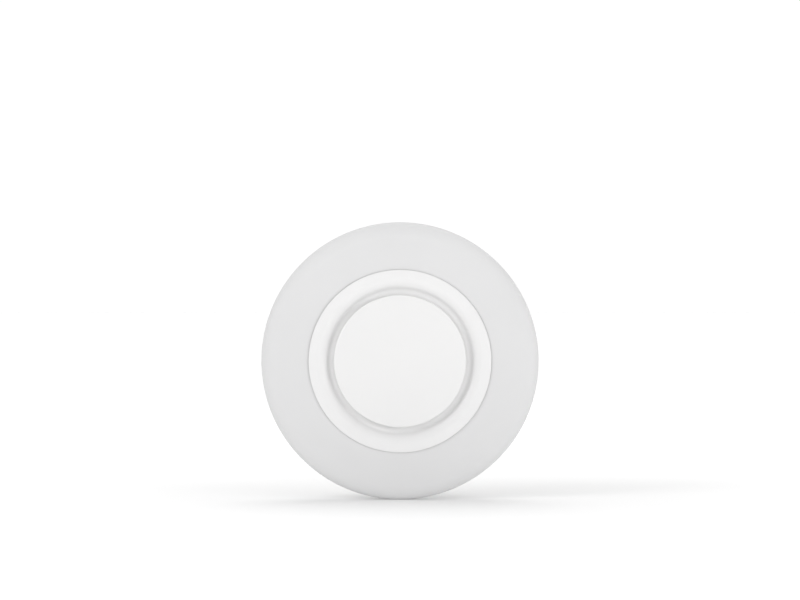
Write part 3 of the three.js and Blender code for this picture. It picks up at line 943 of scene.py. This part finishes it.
class SPRINKLER_OT_sprinkler_frame(bpy.types.Operator):
    """Cast body with its seat, hexagon, arms, crossbar and pipe thread"""

    bl_idname = "sprinkler.sprinkler_frame"
    bl_label = "Sprinkler frame"

    def execute(self, context):
        settings = context.scene.sprinkler_body
        low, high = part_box("sprinkler_frame")
        end, crossbar_front = high.y / MM, low.y / MM
        flats = high.z / MM
        seat, hexagon, hexagon_back = end - 25.1, end - 24.6, end - 21.0
        neck_front, points, chamfer, spare = hexagon + 0.4, flats + 2.1, 0.9, 0.1
        root, neck, orifice, seat_rim, inlet = 9.05, 11.4, 5.6, 7.6, 7.4
        core, screw_bore = 6.8, 2.45
        corners = [
            (orifice, seat, 0.25), (seat_rim, seat, 0.25), (seat_rim, neck_front), (neck, neck_front),
            (neck, end - 16.5, 0.4), (root, end - 14.6, 0.5), (root, end - 0.8),
            (root - 0.4, end, 0.15), (inlet, end, 0.3), (inlet, end - 6), (orifice, hexagon_back + 4),
        ]
        body = turned("sprinkler_casting", corners, settings.facets)
        deselect()
        bpy.ops.mesh.primitive_cylinder_add(
            vertices=6,
            radius=flats * MM / math.cos(math.pi / 6),
            depth=(hexagon_back - hexagon) * MM,
            location=(0, (hexagon + hexagon_back) * MM / 2, 0),
            rotation=(math.pi / 2, math.pi / 6, 0),
        )
        hexagon_block = applied("hexagon")
        chamfers = [
            (0, hexagon - spare), (flats + spare, hexagon - spare), (points, hexagon + chamfer),
            (points, hexagon_back - chamfer), (flats + spare, hexagon_back + spare),
            (0, hexagon_back + spare),
        ]
        combined(hexagon_block, "INTERSECT", disc("chamfers", chamfers, 96))
        combined(hexagon_block, "DIFFERENCE", rod("core", core, hexagon - 2, hexagon_back + 2, 96))
        nose, boss = 4.2, 5.2
        step, crossbar_back = crossbar_front + 3.5, crossbar_front + 8.4
        crossbar_outline = [
            (0, crossbar_front), (nose, crossbar_front, 0.3), (nose, step, 0.2), (boss, step, 0.5),
            (boss, crossbar_back, 1.0), (0, crossbar_back),
        ]
        crossbar = disc("crossbar", crossbar_outline, 72)
        upper = cast_arm()
        lower = turned_to(copied(upper), 180)
        combined(body, "UNION", hexagon_block, upper, lower, crossbar)
        screw_hole = rod("screw_hole", screw_bore, crossbar_front - 1, crossbar_front + 10)
        combined(body, "DIFFERENCE", screw_hole)
        combined(body, "UNION", pipe_thread(settings.thread_pitch / MM, root, end - 14.2, end - 0.2))
        finished(body, cast_brass("cast brass", settings.brass_colour), "sprinkler_frame", 32.0, True)
        return {"FINISHED"}


class SPRINKLER_OT_load_screw(bpy.types.Operator):
    """Slotted screw that sets the load on the bulb"""

    bl_idname = "sprinkler.load_screw"
    bl_label = "Load screw"

    def execute(self, context):
        radius, front, back = reach("load_screw")
        dimple = back - 0.9
        corners = [
            (0, front), (radius, front, 0.3), (radius, back, 0.3), (1.2, back), (0.6, dimple),
            (0, dimple),
        ]
        screw = disc("load_screw_turning", corners, 64)
        combined(screw, "DIFFERENCE", block("slot", (6, 2, 0.8), (0, front, 0)))
        finished(screw, turned_steel("screw steel", (0.62, 0.62, 0.63)), "load_screw", weighted=True)
        return {"FINISHED"}


class SPRINKLER_OT_glass_bulb(bpy.types.Operator):
    """Thin glass bulb with its red liquid and the bubble in it"""

    bl_idname = "sprinkler.glass_bulb"
    bl_label = "Glass bulb"

    def execute(self, context):
        settings = context.scene.sprinkler_body
        radius, front, back = reach("glass_bulb")
        wall, tip, neck, bubble_radius = 0.28, 0.42, 0.5, 0.42
        outline = [
            (0, front), (tip, front + 0.05, 0.2), (neck, front + 1.0, 0.3), (radius, front + 2.3, 1.0),
            (radius, back, 1.4), (0, back),
        ]
        glass = disc("bulb_glass", outline, 64)
        modified(glass, "SOLIDIFY", thickness=wall * MM, offset=-1.0)
        finished(glass, clear_material("bulb glass", (0.97, 0.97, 0.97), 1.5), "glass_bulb", 50.0)
        inside = radius - wall + 0.01
        liquid_outline = [
            (0, front + 2.1), (inside, front + 2.5, 0.8), (inside, back - wall, 1.1), (0, back - wall),
        ]
        liquid = disc("bulb_liquid", liquid_outline, 64)
        deselect()
        middle = (0, (front + 4.2) * MM, 0.62 * MM)
        bpy.ops.mesh.primitive_uv_sphere_add(
            segments=32, ring_count=20, radius=bubble_radius * MM, location=middle
        )
        bubble = applied("bulb_bubble")
        edit_all(bubble)
        bpy.ops.transform.resize(value=(1.0, 1.7, 0.9), center_override=middle)
        object_mode()
        materials = (
            (liquid, clear_material("bulb liquid", settings.liquid_colour, 1.36, 0.0)),
            (bubble, clear_material("bulb bubble", (1.0, 0.9, 0.9), 1.02, 0.0)),
        )
        for piece, material in materials:
            finished(piece, material, "glass_bulb", 60.0)
        return {"FINISHED"}


class SPRINKLER_OT_waterway_seal(bpy.types.Operator):
    """Cap, coned spring washer and soft ring that keep the water back"""

    bl_idname = "sprinkler.waterway_seal"
    bl_label = "Waterway seal"

    def execute(self, context):
        settings = context.scene.sprinkler_body
        radius, front, back = reach("pip_cap")
        stem, rim_back = 3.0, front + 1.0
        corners = [
            (0, front + 0.95), (1.4, front + 0.9, 0.15), (1.9, front, 0.15), (radius, front, 0.2),
            (radius, rim_back, 0.2), (stem, rim_back, 0.15), (stem, back, 0.6), (0, back),
        ]
        cap = disc("pip_cap_turning", corners, 96)
        finished(cap, turned_steel("cap bronze", settings.bronze_colour, roughness=0.3), "pip_cap")
        radius, front, back = reach("belleville_spring")
        sheet, hole = 0.45, 3.3
        corners = [
            (hole, front, 0.12), (radius, back - sheet, 0.12), (radius, back, 0.12),
            (hole, front + sheet, 0.12),
        ]
        washer = turned("coned_washer", corners, 96)
        finished(washer, tempered_steel("washer steel", (0.5, 0.5, 0.53)), "belleville_spring")
        radius, front, back = reach("ptfe_seal")
        inner = radius - 1.4
        corners = band(inner, radius, front, back, 0.05, 0.05, 0.05, 0.05)
        seal = turned("sealing_ring", corners, 96)
        finished(seal, waxy_plastic("sealing plastic", (0.88, 0.88, 0.85)), "ptfe_seal")
        return {"FINISHED"}


# ---- the deflector and its guides


class SPRINKLER_OT_guide_yoke(bpy.types.Operator):
    """Stamped yoke on the crossbar, with a collar for each guide pin"""

    bl_idname = "sprinkler.guide_yoke"
    bl_label = "Guide yoke"

    def execute(self, context):
        settings = context.scene.sprinkler_body
        low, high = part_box("guide_yoke")
        front, back, half = low.y / MM, high.y / MM, high.z / MM
        offset = beside("guide_pin_right")
        arm, collar, pin_hole, nose_hole = offset.x / MM, 3.2, 2.2, 4.35
        plate_front, plate_back = front + 1.1, back - 0.5
        quarter = [(arm + collar, collar, 3.1), (arm, collar), (6.0, half, 1.6)]
        upper = quarter + [(-x, z, *rest) for x, z, *rest in reversed(quarter)]
        outline = upper + [(x, -z, *rest) for x, z, *rest in reversed(upper)]
        yoke = slab("guide_yoke_stamping", outline, facing(plate_front), (0, plate_back - plate_front, 0))
        softened(yoke, 0.35)
        right_hole = shifted(rod("pin_hole", pin_hole, front - 1, back + 1), offset)
        left_hole = turned_to(copied(right_hole), 180)
        middle_hole = rod("middle_hole", nose_hole, front - 1, back + 1, 72)
        combined(yoke, "DIFFERENCE", right_hole, left_hole, middle_hole)
        bore, rim = 1.38, collar - 0.02
        ring = band(bore, rim, front, back, 0.1, 0.3, 0.3, 0.1)
        right = shifted(turned("collar", ring, 48), offset)
        left = turned_to(copied(right), 180)
        combined(yoke, "UNION", right, left)
        material = rolled_sheet("yoke bronze", settings.bronze_colour, (0.06, 1, 1))
        finished(yoke, material, "guide_yoke", weighted=True)
        outer, front, back = reach("yoke_retaining_ring")
        inner = outer - 1.4
        corners = band(inner, outer, front, back, 0.12, 0.12, 0.12, 0.12)
        clip = turned_to(turned("yoke_clip", corners, 88, sweep=330.0), 105)
        finished(clip, tempered_steel("clip steel", (0.48, 0.48, 0.5)), "yoke_retaining_ring")
        return {"FINISHED"}


class SPRINKLER_OT_deflector(bpy.types.Operator):
    """Stamped plate with five slots and a hood that throws the water down and out"""

    bl_idname = "sprinkler.deflector"
    bl_label = "Deflector"

    def execute(self, context):
        settings = context.scene.sprinkler_body
        low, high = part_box("deflector")
        front, hood_end, top = low.y / MM, high.y / MM, high.z / MM
        radius, sheet, half, corner = 17.0, 1.2, 13.0, 2.5
        swing = [math.radians(165 + 210 * i / 40) for i in range(41)]
        arc = [(radius * math.cos(a), radius * math.sin(a)) for a in swing]
        outline = [(half, top), (-half, top), *arc]
        plate = slab("deflector_stamping", outline, facing(front), (0, sheet, 0))
        hood_outline = [
            (half, front), (half, hood_end - corner, 1.0), (half - corner, hood_end, 1.0),
            (corner - half, hood_end, 1.0), (-half, hood_end - corner, 1.0), (-half, front),
        ]
        hood = slab("hood", hood_outline, lambda x, y: Vector((x, y, (top - sheet) * MM)), (0, 0, sheet))
        combined(plate, "UNION", hood)
        edit_all(plate)
        close = 0.02 * MM

        def at_front_top(edge):
            spots = [(vertex.co.y - front * MM, vertex.co.z - top * MM) for vertex in edge.verts]
            return all(abs(y) < close and abs(z) < close for y, z in spots)

        pick(plate, "EDGE", at_front_top)
        bpy.ops.mesh.bevel(offset=1.3 * MM, segments=6, affect="EDGES")
        object_mode()
        slot_outline = [(-1.0, -11.0, 0.98), (1.0, -11.0, 0.98), (1.0, -20.0), (-1.0, -20.0)]
        slot = slab("slot", slot_outline, facing(front - 1), (0, 4, 0))
        hole = rod("pin_hole", 1.26, front - 1, front + 3)
        holes = [shifted(copied(hole), beside(f"guide_pin_{side}")) for side in ("left", "right")]
        removed(hole)
        combined(plate, "DIFFERENCE", ring_of(slot, [-48, -24, 0, 24, 48]), *holes)
        softened(plate, 0.14, segments=2, angle=55.0)
        material = rolled_sheet("deflector bronze", settings.bronze_colour, (0.06, 1, 1))
        finished(plate, material, "deflector", weighted=True)
        return {"FINISHED"}


class SPRINKLER_OT_guide_pins(bpy.types.Operator):
    """Riveted guide pins and the collars that stop their travel"""

    bl_idname = "sprinkler.guide_pins"
    bl_label = "Guide pins"

    def execute(self, context):
        plate_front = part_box("deflector")[0].y / MM
        shaft, shoulder = 1.2, plate_front - 0.05
        for side in ("left", "right"):
            name = f"guide_pin_{side}"
            offset = beside(name)
            head, front, back = reach(name)
            corners = [
                (0, front), (head, front, 0.3), (head, shoulder, 0.1), (shaft, shoulder),
                (shaft, back, 0.4), (0, back),
            ]
            pin = shifted(disc(f"{name}_turning", corners, 48), offset)
            finished(pin, turned_steel(f"{side} pin steel", (0.66, 0.66, 0.67), offset), name)
            stop_name = f"pin_stop_{side}"
            outer, front, back = reach(stop_name)
            ring = band(1.28, outer, front, back, 0.15, 0.25, 0.25, 0.15)
            stop = shifted(turned(f"{stop_name}_collar", ring, 48), offset)
            finished(stop, tempered_steel(f"{side} stop steel", (0.46, 0.46, 0.48)), stop_name)
        return {"FINISHED"}


class SPRINKLER_OT_deflector_springs(bpy.types.Operator):
    """Coils on the guide pins that push the deflector out; the real coils stretch with it, these are drawn
    at one length
    """

    bl_idname = "sprinkler.deflector_springs"
    bl_label = "Deflector springs"

    def execute(self, context):
        turns = context.scene.sprinkler_body.coil_turns
        wire, coil_radius, per_turn = 0.28 * MM, 2.1 * MM, 24
        for side in ("left", "right"):
            name = f"deflector_spring_{side}"
            low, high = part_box(name)
            front, back = low.y + wire, high.y - wire
            middle = beside(name).x
            closed_end = 2 * wire

            def height(turn):
                if turn < 1:
                    return front + closed_end * turn
                if turn > turns - 1:
                    return back - closed_end * (turns - turn)
                share = (turn - 1) / (turns - 2)
                return front + closed_end + (back - front - 2 * closed_end) * share

            curve = bpy.data.curves.new(name, "CURVE")
            curve.dimensions = "3D"
            curve.bevel_depth = wire
            curve.bevel_resolution = 3
            curve.use_fill_caps = True
            line = curve.splines.new("POLY")
            count = round(turns * per_turn)
            line.points.add(count)
            for i, point in enumerate(line.points):
                turn = i / per_turn
                angle = math.tau * turn
                x = middle + coil_radius * math.cos(angle)
                point.co = (x, height(turn), coil_radius * math.sin(angle), 1.0)
            select_only(linked(f"{name}_wire", curve))
            bpy.ops.object.convert(target="MESH")
            coil = shaded(settle(bpy.context.object), 50.0)
            coil.data.materials.clear()
            coil.data.materials.append(tempered_steel(f"{side} coil steel", (0.52, 0.52, 0.54)))
            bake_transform(coil)
            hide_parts(name)
        return {"FINISHED"}


# ---- floor, lights and camera


def soft_light(name, place, size, power, kind="AREA"):
    """A soft light aimed at the head: a square panel, or a sun on the same side as its place."""
    data = bpy.data.lights.new(name, kind)
    data.energy = power
    if kind == "AREA":
        data.size = size
    light = linked(name, data)
    light.location = place
    light.rotation_euler = (-Vector(place)).to_track_quat("-Z", "Y").to_euler()
    return light


class SPRINKLER_OT_stage(bpy.types.Operator):
    """Pale floor that glows, with a painted shade where its glow dims near the head, soft studio light and
    the camera
    """

    bl_idname = "sprinkler.stage"
    bl_label = "Stage"

    def execute(self, context):
        settings = context.scene.sprinkler_stage
        floor_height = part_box("wall_flange")[0].z
        deselect()
        bpy.ops.mesh.primitive_plane_add(size=20.0, location=(0, 0, floor_height))
        floor = applied("floor")
        material, tree, shader, place = opened("glowing floor paper", (0.8, 0.8, 0.8), 0.8)
        bumped(tree, shader, noise(tree, place, 300.0), 0.02, 0.2)
        shader.inputs["Specular IOR Level"].default_value = 0.1
        # The floor glows with painted light. Its emission is weakest near the head and rises outward, which
        # paints a shade round the head's foot.
        shader.inputs["Emission Color"].default_value = (1.0, 1.0, 1.0, 1.0)
        away = node(tree, "ShaderNodeVectorMath", {0: place}, operation="LENGTH").outputs["Value"]
        near, far, dim, bright = 0.05, 0.32, 0.08, 0.28
        tree.links.new(spread(tree, away, dim, bright, near, far), shader.inputs["Emission Strength"])
        floor.data.materials.append(material)

        world = bpy.data.worlds.new("studio")
        context.scene.world = world
        world.use_nodes = True
        tree = world.node_tree
        background = next(n for n in tree.nodes if n.type == "BACKGROUND")
        direction = node(tree, "ShaderNodeTexCoord").outputs["Generated"]
        along = node(tree, "ShaderNodeSeparateXYZ", {"Vector": direction}).outputs["Y"]
        front = spread(tree, along, settings.front_light - settings.side_light, 0.0, -0.95, 0.0)
        back = spread(tree, along, settings.side_light, settings.back_light, 0.0, 0.95)
        strength = node(tree, "ShaderNodeMath", {0: front, 1: back}, operation="ADD").outputs["Value"]
        tree.links.new(strength, background.inputs["Strength"])
        background.inputs["Color"].default_value = (1.0, 1.0, 1.0, 1.0)

        soft_light("key", (-1.1, -0.95, 0.7), 0.8, settings.key_power)
        soft_light("fill", (1.2, -0.95, 0.0), 0.5, settings.fill_power)
        top = soft_light("top", (0, 0.3, 1.0), 1.0, settings.top_light, "SUN")
        top.data.angle = math.radians(50)

        lens = bpy.data.cameras.new("camera")
        lens.lens = settings.lens
        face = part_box("wall_flange")[0].y
        distance = settings.view_width * settings.lens / lens.sensor_width
        camera = linked("camera", lens)
        target = Vector((0, face, 0))
        away = Vector((0, -math.cos(settings.elevation), math.sin(settings.elevation)))
        camera.location = target + away * distance
        camera.rotation_euler = (-away).to_track_quat("-Z", "Y").to_euler()
        lens.shift_y = 0.0765
        lens.clip_end = 50.0
        context.scene.camera = camera
        context.scene.view_settings.view_transform = "Standard"
        context.scene.view_settings.look = "None"
        return {"FINISHED"}


# ---- the sidebar panel and the run

OPERATORS = (
    SPRINKLER_OT_stage, SPRINKLER_OT_wall_flange, SPRINKLER_OT_flange_gasket, SPRINKLER_OT_trim_ring,
    SPRINKLER_OT_cover_plate, SPRINKLER_OT_solder_pads, SPRINKLER_OT_cover_retainer,
    SPRINKLER_OT_ejection_spring, SPRINKLER_OT_support_cup, SPRINKLER_OT_cup_lock_ring,
    SPRINKLER_OT_sprinkler_frame, SPRINKLER_OT_load_screw, SPRINKLER_OT_glass_bulb,
    SPRINKLER_OT_waterway_seal, SPRINKLER_OT_guide_yoke, SPRINKLER_OT_deflector,
    SPRINKLER_OT_guide_pins, SPRINKLER_OT_deflector_springs,
)


class SPRINKLER_PT_pieces(bpy.types.Panel):
    """Buttons for the pieces, and their sizes and colours"""

    bl_label = "Sprinkler head"
    bl_idname = "SPRINKLER_PT_pieces"
    bl_space_type = "VIEW_3D"
    bl_region_type = "UI"
    bl_category = "Sprinkler"

    def draw(self, context):
        for group in SETTINGS:
            settings = getattr(context.scene, group)
            box = self.layout.box()
            for key in settings.__annotations__:
                box.prop(settings, key)
        for operator in OPERATORS:
            self.layout.operator(operator.bl_idname)


SETTINGS = {
    "sprinkler_trim": TrimSettings,
    "sprinkler_body": BodySettings,
    "sprinkler_stage": StageSettings,
}


def register():
    for cls in (*SETTINGS.values(), *OPERATORS, SPRINKLER_PT_pieces):
        bpy.utils.register_class(cls)
    for name, settings in SETTINGS.items():
        setattr(bpy.types.Scene, name, bpy.props.PointerProperty(type=settings))


def unregister():
    for name in SETTINGS:
        delattr(bpy.types.Scene, name)
    for cls in (SPRINKLER_PT_pieces, *reversed(OPERATORS), *SETTINGS.values()):
        bpy.utils.unregister_class(cls)


def main():
    """Build every piece in order."""
    register()
    for operator in OPERATORS:
        group, name = operator.bl_idname.split(".")
        getattr(getattr(bpy.ops, group), name)()


if __name__ == "__main__":
    main()
